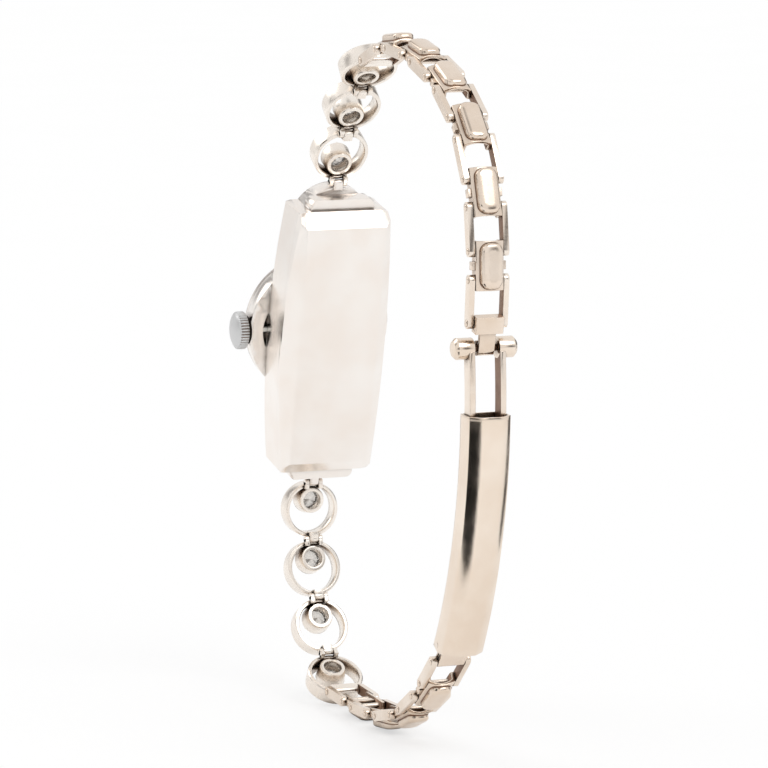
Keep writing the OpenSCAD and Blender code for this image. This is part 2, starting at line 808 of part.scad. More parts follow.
module knobs() {
    for (s = [0, 180]) rotate([0, 0, s]) translate([rail_gap / 2, 0, 0]) rotate([90, 0, 90]) {
        cylinder(h = knob_len - knob_round, r = knob_r);
        translate([0, 0, knob_len - knob_round])
            cylinder(h = knob_round, r1 = knob_r, r2 = knob_r - knob_round);
    }
}

module clasp_knobs() {
    color("tan") on_clasp(bar_angle) knobs();
}

module clasp_slide_frame() {
    color("peru") difference() {
        union() {
            clasp_sweep(mouth_angle - arc(rail_in), bar_angle)
                for (s = [-1, 1]) translate([rail_low, s * (rail_gap + rail_t) / 2 - rail_t / 2])
                    square([rail_high - rail_low, rail_t]);
            clasp_sweep(mouth_angle - arc(rail_in), mouth_angle - arc(rail_in - rail_tie))
                translate([rail_low, -rail_gap / 2 - rail_t / 2])
                    square([rail_high - rail_low - 0.2, rail_gap + rail_t]);
        }
        on_clasp(bar_angle) rod(knob_r, box_w);
    }
}

module box_profile(w, front, low, shoulder, top) {
    polygon([[low, -w / 2], [shoulder, -w / 2], [top, -front / 2], [top, front / 2], [shoulder, w / 2],
        [low, w / 2]]);
}

module clasp_cover() {
    color("wheat") difference() {
        clasp_sweep(hinge_angle - arc(box_tail), mouth_angle) difference() {
            box_profile(box_w, box_front_w, box_low, box_shoulder, box_top);
            box_profile(box_w - 2 * box_wall, box_front_w - box_wall, box_low - 1,
                box_shoulder - box_wall / 2, box_top - box_wall);
        }
        on_clasp(hinge_angle) rod(pin_r, box_w + 1);
    }
}

module clasp_back_plate() {
    color("peru") clasp_sweep(hinge_angle + arc(box_open), mouth_angle)
        translate([box_low, -box_w / 2 + box_wall]) square([box_wall, box_w - 2 * box_wall]);
}

module clasp_hinge_pin() {
    color("peru") on_clasp(hinge_angle) rod(pin_r, box_w);
}

module clasp_end_link() {
    color("tan") on_lower(len(lower_lengths) - 2) difference() {
        across(block_w) {
            circle(plate_h / 2);
            translate([end_pitch, 0]) circle(plate_h / 2);
            translate([0, -plate_h / 2]) square([end_pitch, plate_h]);
        }
        for (y = [0, end_pitch]) translate([0, y, 0]) rod(pin_r + run_gap, block_w + 1);
    }
}

case_body();
case_back();
bezel();
bezel_stones();
lug_stones();
crystal();
dial();
dial_markers();
hour_hand();
minute_hand();
main_plate();
train_bridge();
balance_cock();
mainspring_barrel();
centre_wheel();
third_wheel();
fourth_wheel();
escape_wheel();
pallet_fork();
balance_wheel();
winding_stem();
crown();
for (i = [1 : upper_rounds]) {
    upper_round_link(i);
}
for (i = [1 : lower_rounds]) {
    lower_round_link(i);
}
for (i = [1 : upper_blocks + 1]) {
    upper_plates(i);
}
for (i = [1 : upper_blocks]) {
    upper_block(i);
}
for (i = [1 : lower_blocks + 1]) {
    lower_plates(i);
}
for (i = [1 : lower_blocks]) {
    lower_block(i);
}
clasp_hook();
clasp_crossbar();
clasp_knobs();
clasp_slide_frame();
clasp_cover();
clasp_back_plate();
clasp_hinge_pin();
clasp_end_link();
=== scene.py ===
import json
import math
import bmesh
import bpy
from mathutils import Matrix, Vector


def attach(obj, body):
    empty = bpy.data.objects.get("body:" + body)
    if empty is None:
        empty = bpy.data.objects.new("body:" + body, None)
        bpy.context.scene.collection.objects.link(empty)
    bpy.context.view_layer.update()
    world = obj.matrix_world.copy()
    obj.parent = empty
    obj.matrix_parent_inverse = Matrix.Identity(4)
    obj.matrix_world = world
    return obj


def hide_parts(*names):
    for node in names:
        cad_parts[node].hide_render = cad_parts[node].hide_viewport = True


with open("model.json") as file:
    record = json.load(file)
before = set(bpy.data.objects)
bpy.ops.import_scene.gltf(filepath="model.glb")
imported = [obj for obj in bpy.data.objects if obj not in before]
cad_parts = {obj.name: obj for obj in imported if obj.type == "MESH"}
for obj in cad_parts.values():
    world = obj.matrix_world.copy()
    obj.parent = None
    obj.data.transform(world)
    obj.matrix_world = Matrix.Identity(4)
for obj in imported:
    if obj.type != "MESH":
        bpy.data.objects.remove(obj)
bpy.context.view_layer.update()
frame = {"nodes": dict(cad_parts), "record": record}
MM = 0.001

# The photograph's view, as azimuth and elevation in degrees
VIEW = (159, 8)
NODES = frame["nodes"]
JOINTS = {j["name"]: j for j in frame["record"]["behaviour"]["joints"]}


# Node helpers

def material(name):
    mat = bpy.data.materials.new(name)
    mat.use_nodes = True
    mat.node_tree.nodes.clear()
    return mat


class Graph:
    """Adds and links shader nodes in one material."""

    def __init__(self, mat):
        self.tree = mat.node_tree
        self.out = self.add("ShaderNodeOutputMaterial")
        self.place = self.add("ShaderNodeTexCoord").outputs["Object"]

    def add(self, kind, **values):
        node = self.tree.nodes.new(kind)
        for key, value in values.items():
            setattr(node, key, value)
        return node

    def link(self, a, b):
        self.tree.links.new(a, b)

    def noise(self, scale, detail=4.0, stretch=(1, 1, 1), rough=0.55):
        mapping = self.add("ShaderNodeMapping")
        mapping.inputs["Scale"].default_value = [scale * s for s in stretch]
        self.link(self.place, mapping.inputs["Vector"])
        node = self.add("ShaderNodeTexNoise")
        node.inputs["Scale"].default_value = 1.0
        node.inputs["Detail"].default_value = detail
        node.inputs["Roughness"].default_value = rough
        self.link(mapping.outputs["Vector"], node.inputs["Vector"])
        return node.outputs["Fac"]

    def span(self, source, low, high, to_low, to_high):
        node = self.add("ShaderNodeMapRange")
        for key, value in (("From Min", low), ("From Max", high), ("To Min", to_low), ("To Max", to_high)):
            node.inputs[key].default_value = value
        self.link(source, node.inputs["Value"])
        return node.outputs["Result"]

    def math(self, operation, a, b):
        node = self.add("ShaderNodeMath", operation=operation)
        for slot, value in zip(node.inputs, (a, b)):
            if isinstance(value, (int, float)):
                slot.default_value = value
            else:
                self.link(value, slot)
        return node.outputs[0]

    def mix(self, fac, a, b, blend="MIX"):
        node = self.add("ShaderNodeMix", data_type="RGBA", blend_type=blend)
        for slot, value in ((node.inputs[0], fac), (node.inputs[6], a), (node.inputs[7], b)):
            if isinstance(value, (int, float)):
                slot.default_value = value
            elif isinstance(value, tuple):
                slot.default_value = (*value, 1.0)
            else:
                self.link(value, slot)
        return node.outputs[2]

    def bump(self, height, strength, distance):
        node = self.add("ShaderNodeBump")
        node.inputs["Strength"].default_value = strength
        node.inputs["Distance"].default_value = distance
        self.link(height, node.inputs["Height"])
        return node.outputs["Normal"]

    def surface(self, **values):
        shader = self.add("ShaderNodeBsdfPrincipled")
        for key, value in values.items():
            slot = shader.inputs[key.replace("_", " ")]
            if isinstance(value, (int, float)):
                slot.default_value = value
            elif isinstance(value, tuple):
                slot.default_value = (*value, 1.0)
            else:
                self.link(value, slot)
        self.link(shader.outputs[0], self.out.inputs["Surface"])
        return shader


def gold(name, bright, tan, corner_shade, rough, scratch=(1, 1, 1), wear=0.35, reach=0.7, shade_from=0.85):
    """Polished gold alloy: soft tone changes, painted shade in the corners, fine scratches.

    The painted shade looks for corners within reach millimetres, and starts where the openness drops below
    shade_from.
    """
    g = Graph(material(name))
    tone = g.span(g.noise(260, 5.0), 0.35, 0.65, 0.0, 1.0)
    colour = g.mix(tone, bright, tan)
    blush = g.span(g.noise(900, 6.0, rough=0.7), 0.5, 0.75, 0.0, 0.28)
    colour = g.mix(blush, colour, tan)
    # Painted shade: the colour darkens towards corner_shade in corners and creases found by ambient
    # occlusion, broken up by noise.
    corner = g.add("ShaderNodeAmbientOcclusion", samples=8)
    corner.inputs["Distance"].default_value = reach * MM
    dark = g.span(corner.outputs["AO"], 0.25, shade_from, 0.9, 0.0)
    dark = g.math("MULTIPLY", dark, g.span(g.noise(1800, 3.0), 0.3, 0.6, 0.7, 1.0))
    colour = g.mix(dark, colour, corner_shade)
    lines = g.noise(2600, 2.0, scratch)
    fine = g.noise(9000, 2.0)
    smear = g.span(g.noise(500, 4.0), 0.35, 0.7, 0.0, wear)
    roughness = g.math("ADD", g.math("MULTIPLY", lines, 0.10), g.math("MULTIPLY", smear, 0.35))
    roughness = g.math("ADD", roughness, rough)
    height = g.math("ADD", g.math("MULTIPLY", lines, 0.7), g.math("MULTIPLY", fine, 0.3))
    g.surface(Base_Color=colour, Metallic=1.0, Roughness=roughness,
              Normal=g.bump(height, 0.10, 0.02 * MM))


def made(name):
    """The material of this name."""
    return bpy.data.materials[name]


# The dark brown that the gold materials take as painted shade in their corners.
CORNER_SHADE_BROWN = (0.07, 0.04, 0.025)
# The case gold is a lighter copy of the link gold: its paleness is painted light, for the light washing over
# the case.
gold("case_gold_lightened", (0.92, 0.875, 0.83), (0.89, 0.82, 0.76), CORNER_SHADE_BROWN, 0.16, (0.2, 3, 0.2), 0.12)
gold("ring_gold", (0.93, 0.87, 0.80), (0.88, 0.80, 0.72), (0.26, 0.19, 0.14), 0.16)
gold("link_gold", (0.86, 0.745, 0.64), (0.76, 0.625, 0.505), CORNER_SHADE_BROWN, 0.09, reach=0.9, shade_from=0.95)
# The plate gold is a lighter copy of the link gold: its paleness is painted light, for the light falling on
# the plates.
gold("plate_gold_lightened", (0.88, 0.79, 0.70), (0.78, 0.66, 0.55), CORNER_SHADE_BROWN, 0.10, (0.3, 0.3, 2.5), reach=0.5, shade_from=0.9)
gold("clasp_gold", (0.87, 0.76, 0.65), (0.80, 0.67, 0.55), CORNER_SHADE_BROWN, 0.09, (2.5, 2.5, 0.2), 0.22)
# A dark brown gold that stands in for shade: painted shade on the crossbar, the plates' inner faces, round
# the pads, inside the blocks and in the crown's grooves.
gold("shade_brown", (0.30, 0.19, 0.13), (0.18, 0.10, 0.065), CORNER_SHADE_BROWN, 0.30)
gold("train_gold", (0.85, 0.68, 0.36), (0.78, 0.58, 0.28), CORNER_SHADE_BROWN, 0.2)
# Near black, a painted shade for the disc behind the crown.
gold("shade_black", (0.022, 0.017, 0.014), (0.015, 0.011, 0.009), (0.008, 0.006, 0.005), 0.45)
gold("hand_gold", (0.72, 0.52, 0.30), (0.60, 0.42, 0.22), CORNER_SHADE_BROWN, 0.16)


def steel(name, light, dark, rough, stretch):
    """Brushed pale metal with painted shade in its corners. The brushing's scale along each axis is stretch.
    """
    g = Graph(material(name))
    tone = g.span(g.noise(700, 4.0), 0.3, 0.7, 0.0, 1.0)
    # Painted shade: the colour darkens in corners and grooves found by ambient occlusion.
    corner = g.add("ShaderNodeAmbientOcclusion", samples=8)
    corner.inputs["Distance"].default_value = 0.3 * MM
    corner_shade = g.span(corner.outputs["AO"], 0.3, 0.9, 0.9, 0.0)
    colour = g.mix(corner_shade, g.mix(tone, light, dark), (0.05, 0.035, 0.03))
    grain = g.noise(3000, 3.0, stretch)
    roughness = g.math("ADD", g.math("MULTIPLY", grain, 0.2), rough)
    g.surface(Base_Color=colour, Metallic=1.0, Roughness=roughness, Normal=g.bump(grain, 0.12, 0.03 * MM))


steel("crown_steel", (0.72, 0.65, 0.60), (0.60, 0.53, 0.48), 0.2, (0.2, 2, 2))
steel("movement_nickel", (0.74, 0.72, 0.68), (0.62, 0.60, 0.56), 0.28, (4, 0.3, 0.3))


def dial_paint():
    """Aged ivory paint with a fine grain and a few spots."""
    g = Graph(material("dial_paint"))
    tone = g.span(g.noise(500, 4.0), 0.35, 0.65, 0.0, 1.0)
    spot = g.span(g.noise(2500, 5.0), 0.62, 0.75, 0.0, 0.25)
    colour = g.mix(spot, g.mix(tone, (0.86, 0.82, 0.74), (0.82, 0.77, 0.67)), (0.62, 0.52, 0.38))
    grain = g.noise(12000, 2.0)
    g.surface(Base_Color=colour, Metallic=0.25, Roughness=g.span(grain, 0, 1, 0.32, 0.45),
              Normal=g.bump(grain, 0.08, 0.01 * MM))


dial_paint()


def clear(name, colour, rough, ior, through):
    """Glass or stone: refraction with a few fine surface marks."""
    g = Graph(material(name))
    marks = g.span(g.noise(1500, 5.0), 0.55, 0.8, rough, rough + 0.08)
    tint = g.mix(g.span(g.noise(800), 0.3, 0.7, 0.0, 1.0), colour, tuple(c * 0.97 for c in colour))
    g.surface(Base_Color=tint, Roughness=marks, IOR=ior, Transmission_Weight=through)


clear("crystal_glass", (0.97, 0.98, 0.98), 0.01, 1.48, 1.0)
clear("stone_clear", (0.93, 0.90, 0.86), 0.0, 1.9, 0.85)

LOOK = {
    "rose_gold": "link_gold", "gold_shadow": "plate_gold_lightened", "crown_steel": "crown_steel",
    "movement_nickel": "movement_nickel", "movement_brass": "train_gold", "hand_gold": "hand_gold",
    "dial_ivory": "dial_paint", "crystal_glass": "crystal_glass", "stone": "stone_clear",
}
# The clasp's crossbar takes the dark brown of painted shade, for the shade between the knobs and the tongue.
SPECIAL = {
    "case_body": "case_gold_lightened", "case_back": "case_gold_lightened", "bezel": "case_gold_lightened", "clasp_knobs": "clasp_gold",
    "clasp_back_plate": "clasp_gold", "clasp_crossbar": "shade_brown",
}
SLOT_OF = {s["node"]: s["material_slot"] for s in frame["record"]["subparts"]}


def dress(obj, look):
    obj.data.materials.clear()
    obj.data.materials.append(made(look))


def soften(obj, width, angle=32, segments=2):
    """Rounds the edges of a solid that are sharper than an angle, and shades it smoothly."""
    weld = obj.modifiers.new("weld", "WELD")
    weld.merge_threshold = 1e-6
    bevel = obj.modifiers.new("edge", "BEVEL")
    bevel.width = width * MM
    bevel.segments = segments
    bevel.limit_method = "ANGLE"
    bevel.angle_limit = math.radians(angle)
    bevel.use_clamp_overlap = True
    bevel.harden_normals = False
    normal = obj.modifiers.new("normal", "WEIGHTED_NORMAL")
    normal.keep_sharp = False
    for face in obj.data.polygons:
        face.use_smooth = True


# Edge roundings in millimetres of the nodes that stay
EDGE = {
    "case_body": 0.16, "case_back": 0.14, "bezel": 0.1, "crystal": 0.03, "clasp_knobs": 0.12,
    "clasp_slide_frame": 0.06, "clasp_hook": 0.08, "clasp_crossbar": 0.04, "clasp_end_link": 0.08,
    "clasp_back_plate": 0.05,
}
PLATE_EDGE = 0.05
FINE_EDGE = 0.02


def edge_of(name):
    """The edge rounding of a node."""
    return EDGE.get(name, PLATE_EDGE if "plates" in name else FINE_EDGE)


for name, obj in NODES.items():
    dress(obj, SPECIAL.get(name, LOOK[SLOT_OF[name]]))
    soften(obj, edge_of(name))


def darken_inside(obj, middle):
    """Gives the faces that look across the gap, toward the middle plane, the dark brown of painted shade."""
    obj.data.materials.append(made("shade_brown"))
    for face in obj.data.polygons:
        side = face.center.x - middle
        if face.normal.x * side < -0.9 * abs(side):
            face.material_index = 1


CHAIN_MID = JOINTS["clasp_hinge"]["pos_m"][0]
# The inner faces of the plates and the slide frame get painted shade.
for name, obj in NODES.items():
    if "plates" in name or name == "clasp_slide_frame":
        darken_inside(obj, CHAIN_MID)


# Pieces built in mesh code, in millimetres in the frame of what carries them

def lathe(profile, count, closed=False):
    """Turns a profile of (radius, height) about Z. A radius of 0 makes a single point."""
    verts, rings, faces = [], [], []
    for radius, height in profile:
        if radius == 0:
            rings.append([len(verts)] * count)
            verts.append((0, 0, height))
            continue
        rings.append([len(verts) + k for k in range(count)])
        for k in range(count):
            a = 2 * math.pi * k / count
            verts.append((radius * math.cos(a), radius * math.sin(a), height))
    pairs = list(zip(rings, rings[1:])) + ([(rings[-1], rings[0])] if closed else [])
    for low, high in pairs:
        for k in range(count):
            n = (k + 1) % count
            corner = list(dict.fromkeys((low[k], low[n], high[n], high[k])))
            faces.append(tuple(corner))
    return verts, faces


def moved(shape, x=0.0, y=0.0, z=0.0):
    verts, faces = shape
    return [(a + x, b + y, c + z) for a, b, c in verts], faces


def turned(shape, degrees):
    verts, faces = shape
    c, n = math.cos(math.radians(degrees)), math.sin(math.radians(degrees))
    return [(c * x - n * y, n * x + c * y, z) for x, y, z in verts], faces


def on_x(shape):
    """Lays a shape's Z axis along X."""
    verts, faces = shape
    return [(z, x, y) for x, y, z in verts], faces


def rod(radius, low, high, count=32):
    return on_x(lathe([(0, low), (radius, low), (radius, high), (0, high)], count))


def rod_at(radius, low, high, y):
    return moved(rod(radius, low, high), 0, y)


def box(x0, x1, y0, y1, z0, z1):
    verts = [(x, y, z) for x in (x0, x1) for y in (y0, y1) for z in (z0, z1)]
    return verts, [(0, 1, 3, 2), (4, 6, 7, 5), (0, 4, 5, 1), (2, 3, 7, 6), (0, 2, 6, 4), (1, 5, 7, 3)]


def prism(outline, low, high):
    """Extrudes an outline of (x, z) along Y."""
    n = len(outline)
    verts = [(x, low, z) for x, z in outline] + [(x, high, z) for x, z in outline]
    faces = [(k, (k + 1) % n, (k + 1) % n + n, k + n) for k in range(n)]
    return verts, faces + [tuple(range(n)), tuple(range(2 * n - 1, n - 1, -1))]


def rounded_loop(w, l, r, z, steps=10):
    """A rectangle with round corners at the height z."""
    loop = []
    for cx, cy, start in ((1, 1, 0), (-1, 1, 90), (-1, -1, 180), (1, -1, 270)):
        for k in range(steps + 1):
            a = math.radians(start + 90 * k / steps)
            loop.append((cx * (w / 2 - r) + r * math.cos(a), cy * (l / 2 - r) + r * math.sin(a), z))
    return loop


def stack(loops):
    """Skins a pile of equal loops and closes both ends."""
    n = len(loops[0])
    verts = [v for loop in loops for v in loop]
    faces = []
    for i in range(len(loops) - 1):
        for k in range(n):
            m = (k + 1) % n
            faces.append((i * n + k, i * n + m, (i + 1) * n + m, (i + 1) * n + k))
    faces.append(tuple(range(n - 1, -1, -1)))
    faces.append(tuple((len(loops) - 1) * n + k for k in range(n)))
    return verts, faces


def brilliant(r, crown, deep):
    """A round brilliant: an eight-sided table, star, kite and girdle facets, and a pointed pavilion."""
    verts, faces = [], []

    def ring(radius, z, count, shift=0.0):
        first = len(verts)
        for k in range(count):
            a = 2 * math.pi * (k + shift) / count
            verts.append((radius * math.cos(a), radius * math.sin(a), z))
        return [first + k for k in range(count)]

    table = ring(0.56 * r, crown, 8)
    middle = ring(0.80 * r, 0.52 * crown, 8, 0.5)
    top = ring(r, 0.03, 16)
    base = ring(r, -0.03, 16)
    lower = ring(0.34 * r, -0.66 * deep, 8, 0.5)
    culet = len(verts)
    verts.append((0, 0, -deep))
    faces.append(tuple(table))
    for k in range(8):
        n = (k + 1) % 8
        faces.append((table[k], middle[k], table[n]))
        faces.append((table[k], middle[k - 1], top[2 * k], middle[k]))
        faces.append((middle[k], top[2 * k], top[2 * k + 1]))
        faces.append((middle[k], top[2 * k + 1], top[(2 * k + 2) % 16]))
        faces.append((base[2 * k], base[2 * k + 1], lower[k]))
        faces.append((base[2 * k + 1], base[(2 * k + 2) % 16], lower[k]))
        faces.append((base[2 * k], lower[k], culet, lower[k - 1]))
    for k in range(16):
        n = (k + 1) % 16
        faces.append((top[k], base[k], base[n], top[n]))
    return verts, faces


def claw(r, low, high, at=0.0, angle=0.0):
    """A round post with a domed tip, at a distance from the middle in the direction of an angle."""
    shape = lathe([(0, low), (r, low), (r, high - 0.6 * r), (0.7 * r, high - 0.2 * r), (0, high)], 12)
    c, n = math.cos(math.radians(angle)), math.sin(math.radians(angle))
    return moved(shape, at * c, at * n)


def build(name, body, place, shapes, look, stands_for=(), edge=0.04, flat=False):
    """Joins shapes into one piece, puts it in place, dresses it and rides it on its body."""
    mesh = bpy.data.meshes.new(name)
    verts, faces = [], []
    for v, f in shapes:
        faces += [tuple(i + len(verts) for i in face) for face in f]
        verts += [place @ (Vector(p) * MM) for p in v]
    mesh.from_pydata(verts, [], faces)
    bm = bmesh.new()
    bm.from_mesh(mesh)
    bmesh.ops.recalc_face_normals(bm, faces=bm.faces)
    bm.to_mesh(mesh)
    bm.free()
    obj = bpy.data.objects.new(name, mesh)
    bpy.context.collection.objects.link(obj)
    dress(obj, look)
    if edge:
        soften(obj, edge)
    for face in mesh.polygons:
        face.use_smooth = not flat
    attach(obj, body)
    if stands_for:
        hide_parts(*stands_for)
    return obj


def axes(x, y, z, origin):
    """A place in the frame, from three directions and an origin."""
    return Matrix([(x[i], y[i], z[i], origin[i]) for i in range(3)] + [(0, 0, 0, 1)])


def link_names(side, rounds, blocks):
    """The links from the head to the clasp: round links, then plates and blocks in turn, ending in plates."""
    names = [f"{side}_round_link_{i}" for i in range(1, rounds + 1)]
    for i in range(1, blocks + 1):
        names += [f"{side}_plates_{i}", f"{side}_block_{i}"]
    return names + [f"{side}_plates_{blocks + 1}"]


# Each link's own place: X across, Y along to the next pin, Z outward from the wrist
LINKS = {}
for side, rounds, blocks, after in (("upper", 3, 6, "hook"), ("lower", 4, 4, "end_link")):
    names = link_names(side, rounds, blocks)
    for name, beyond in zip(names, names[1:] + [after]):
        pin = Vector(JOINTS[name + "_hinge"]["pos_m"])
        along = (Vector(JOINTS[beyond + "_hinge"]["pos_m"]) - pin).normalized()
        out = Vector((0, -along.z, along.y)) if side == "upper" else Vector((0, along.z, -along.y))
        LINKS[name] = axes(Vector((1, 0, 0)), along, out, pin)

# The head's place: X toward the crown, Y toward 12 o'clock, Z out of the dial, from the middle of the back
LEAN = math.radians(13)
UP = Vector((0, math.sin(LEAN), math.cos(LEAN)))
OUT = Vector((0, -math.cos(LEAN), math.sin(LEAN)))
HEAD = axes(Vector((1, 0, 0)), UP, OUT, Vector(frame["record"]["mounts"][0]["pos_m"]))

# Round links: a ring, a tapered collet on the side of the first pin, six claws and a stone
ROUND_PITCH = 5.1
RING_R = 2.45
RING_IN = 2.08
RING_LOW = 0.3
RING_TOP = 1.8
COLLET_Y = 1.7
STONE_R = 1.1
STONE_CROWN = 0.33
STONE_DEEP = 0.85
PIN_R = 0.22
PIN_HALF = 0.6
KNUCKLE_R = 0.3
KNUCKLE_LOW = -0.28
LOOP_HALF = 0.4
FORK_IN = 0.45
FORK_OUT = 0.8
ARM = 0.55
POST_NEAR = 0.3
POST_FAR = 0.6
POST_TOP = RING_LOW + 0.2
LINK_CLAW_R = 0.12
BLOCK_HALF = 1.2


def round_link(name, end_half):
    """A ring with a collet inside it, a fork at its first pin and a loop or a bar at its second."""
    ring = lathe([(RING_IN + 0.06, RING_LOW), (RING_R - 0.10, RING_LOW), (RING_R, RING_LOW + 0.12),
                  (RING_R, RING_TOP - 0.12), (RING_R - 0.10, RING_TOP), (RING_IN + 0.06, RING_TOP),
                  (RING_IN, RING_TOP - 0.10), (RING_IN, RING_LOW + 0.10)], 96, closed=True)
    collet = lathe([(0.80, RING_LOW), (1.08, RING_LOW), (1.15, RING_LOW + 0.15), (1.30, RING_TOP - 0.15),
                    (1.26, RING_TOP), (1.13, RING_TOP), (1.10, RING_TOP - 0.1), (0.82, RING_TOP - 0.45),
                    (0.76, RING_LOW + 0.12)], 64, closed=True)
    shapes = [moved(ring, 0, ROUND_PITCH / 2), moved(collet, 0, COLLET_Y),
              rod(PIN_R, -PIN_HALF, PIN_HALF), rod_at(KNUCKLE_R, -end_half, end_half, ROUND_PITCH),
              box(-end_half, end_half, ROUND_PITCH - ARM, ROUND_PITCH, KNUCKLE_LOW, -KNUCKLE_LOW),
              box(-LOOP_HALF, LOOP_HALF, ROUND_PITCH - POST_FAR, ROUND_PITCH - POST_NEAR, 0, POST_TOP)]
    for s in (-1, 1):
        x0, x1 = sorted((s * FORK_IN, s * FORK_OUT))
        shapes += [rod(KNUCKLE_R, x0, x1), box(x0, x1, 0, POST_FAR, KNUCKLE_LOW, -KNUCKLE_LOW),
                   box(x0, x1, POST_NEAR, POST_FAR, 0, POST_TOP)]
    for k in range(6):
        post = claw(LINK_CLAW_R, RING_TOP - 0.3, RING_TOP + 0.16, STONE_R + 0.03, 30 + 60 * k)
        shapes.append(moved(post, 0, COLLET_Y))
    build(name + "_setting", name, LINKS[name], shapes, "ring_gold", (name,), edge=0.04)
    stone = moved(brilliant(STONE_R - 0.03, STONE_CROWN, STONE_DEEP), 0, COLLET_Y, RING_TOP - 0.1)
    build(name + "_stone", name, LINKS[name], [stone], "stone_clear", edge=0, flat=True)


# Blocks: an arched shell open at both ends, a raised pad with a narrow bevel and a crowned top
BLOCK_MID = 1.15
BLOCK_LEN = 4.0
SHELL_SIDE = 0.45
SHELL_RISE = 0.3
SHELL_WALL = 0.28
SHELL_INNER = BLOCK_HALF - SHELL_WALL
PAD_W = 1.8
PAD_LEN = 3.7
PAD_CORNER = 0.7
PAD_FOOT = 0.5
PAD_TOP = 1.25
BOSS_HALF = 1.47
LINING_BACK = 0.08


def arch(half, side, rise, low, steps=20):
    """The outline of an arch that stands on low, with straight sides and a round top."""
    radius = (half * half + rise * rise) / (2 * rise)
    span = math.asin(half / radius)
    outline = [(-half, low)]
    for k in range(steps + 1):
        a = -span + 2 * span * k / steps
        outline.append((radius * math.sin(a), side + rise - radius + radius * math.cos(a)))
    return outline + [(half, low)]


def shell_height(x):
    """Height of the arched shell's outside at x."""
    radius = (BLOCK_HALF ** 2 + SHELL_RISE ** 2) / (2 * SHELL_RISE)
    return SHELL_SIDE + SHELL_RISE - radius + math.sqrt(radius ** 2 - min(abs(x), BLOCK_HALF) ** 2)


def pad_shade_line():
    """A dark line of painted shade where the pad stands on the shell."""
    verts, faces = [], []
    for grow, rise in ((0.05, -0.05), (0.05, 0.03), (0.0, 0.09)):
        loop = rounded_loop(PAD_W + 2 * grow, PAD_LEN + 2 * grow, PAD_CORNER + grow, 0)
        verts += [(x, y + BLOCK_MID, shell_height(x) + rise) for x, y, _ in loop]
    n = len(verts) // 3
    for row in (0, n):
        faces += [(row + k, row + (k + 1) % n, row + n + (k + 1) % n, row + n + k) for k in range(n)]
    return verts, faces


def block(name):
    """A shell with a pad on it and a boss to each side, a line of painted shade round the pad, and its inside
    painted dark as shade.
    """
    outer = arch(BLOCK_HALF, SHELL_SIDE, SHELL_RISE, -SHELL_SIDE)
    inner = arch(SHELL_INNER, SHELL_SIDE - SHELL_WALL, SHELL_RISE, -SHELL_SIDE)
    shell = prism(outer + inner[::-1], BLOCK_MID - BLOCK_LEN / 2, BLOCK_MID + BLOCK_LEN / 2)
    loops = []
    for inset, z in ((0, PAD_FOOT), (0, PAD_TOP - 0.26), (0.05, PAD_TOP - 0.17), (0.15, PAD_TOP - 0.08),
                     (0.24, PAD_TOP - 0.045), (0.40, PAD_TOP - 0.02), (0.60, PAD_TOP)):
        corner = PAD_CORNER - 0.75 * inset
        loops.append(rounded_loop(PAD_W - 2 * inset, PAD_LEN - 2 * inset, corner, z))
    pad = moved(stack(loops), 0, BLOCK_MID)
    boss = box(-BOSS_HALF, BOSS_HALF, BLOCK_MID - 0.35, BLOCK_MID + 0.35, -0.3, 0.3)
    parts = [shell, pad, boss]
    build(name + "_shell", name, LINKS[name], parts, "link_gold", (name,), edge=0.05)
    # Painted shade: a dark ring round the pad's foot.
    build(name + "_seam", name, LINKS[name], [pad_shade_line()], "shade_brown", edge=0)
    # Painted shade: a dark sheet lining the hollow inside the shell.
    over = arch(SHELL_INNER + 0.01, SHELL_SIDE - SHELL_WALL + 0.01, SHELL_RISE, -SHELL_SIDE + 0.06)
    under = arch(SHELL_INNER - 0.03, SHELL_SIDE - SHELL_WALL - 0.03, SHELL_RISE, -SHELL_SIDE + 0.06)
    reach = BLOCK_LEN / 2 - LINING_BACK
    lining = prism(over + under[::-1], BLOCK_MID - reach, BLOCK_MID + reach)
    build(name + "_lining", name, LINKS[name], [lining], "shade_brown", edge=0)


PLATE_PITCH = 3.5
PLATE_FACE = 1.69


def rivets(name):
    """Domed rivet heads on the outer faces of a link's two side plates."""
    head = lathe([(0, 0), (0.29, 0), (0.28, 0.04), (0.2, 0.09), (0.1, 0.11), (0, 0.115)], 24)
    shapes = []
    for y in (0, PLATE_PITCH):
        right = moved(on_x(head), PLATE_FACE, y)
        left = ([(-x, b, c) for x, b, c in right[0]], right[1])
        shapes += [right, left]
    build(name + "_rivets", name, LINKS[name], shapes, "link_gold", edge=0)


LAST_ROUNDS = ("upper_round_link_3", "lower_round_link_4")
for name in LINKS:
    if "round_link" in name:
        round_link(name, BLOCK_HALF if name in LAST_ROUNDS else LOOP_HALF)
    elif "block" in name:
        block(name)
    else:
        rivets(name)

# Clasp: the bent box, as (x, rise) sections swept along its arc, with a rounded lower end
ARC_MID = Vector(JOINTS["clasp_slide"]["pos_m"])
ARC_FROM = Vector(JOINTS["clasp_hinge"]["pos_m"]) - ARC_MID
ARC_R = ARC_FROM.length / MM
ARC_START = math.atan2(ARC_FROM.z, ARC_FROM.y)
BOX_MOUTH = 20.8
BOX_LOW = -0.65
BOX_HALF = 1.81
BOX_SHOULDER = 1.2
BOX_TOP = 1.9
BOX_FRONT = 0.9
BOX_WALL = 0.2
TAIL_FLAT = 0.35
TAIL_LOW = -0.62
TAIL_BACK = 0.85
TAIL_ROUND = 0.12


def on_arc(along, x, rise):
    """A point in millimetres from the arc's middle: along the clasp from its hinge, across, and outward."""
    a = ARC_START + along / ARC_R
    return (x, (ARC_R + rise) * math.cos(a), (ARC_R + rise) * math.sin(a))


def tail(x, rise):
    """Where the lower end stands: square round the pin, and drawn back and rounded at the front."""
    lift = min(1.0, max(0.0, (rise - TAIL_FLAT) / (BOX_TOP - TAIL_FLAT)))
    return TAIL_LOW + TAIL_BACK * lift + TAIL_ROUND * (abs(x) / BOX_HALF) ** 4


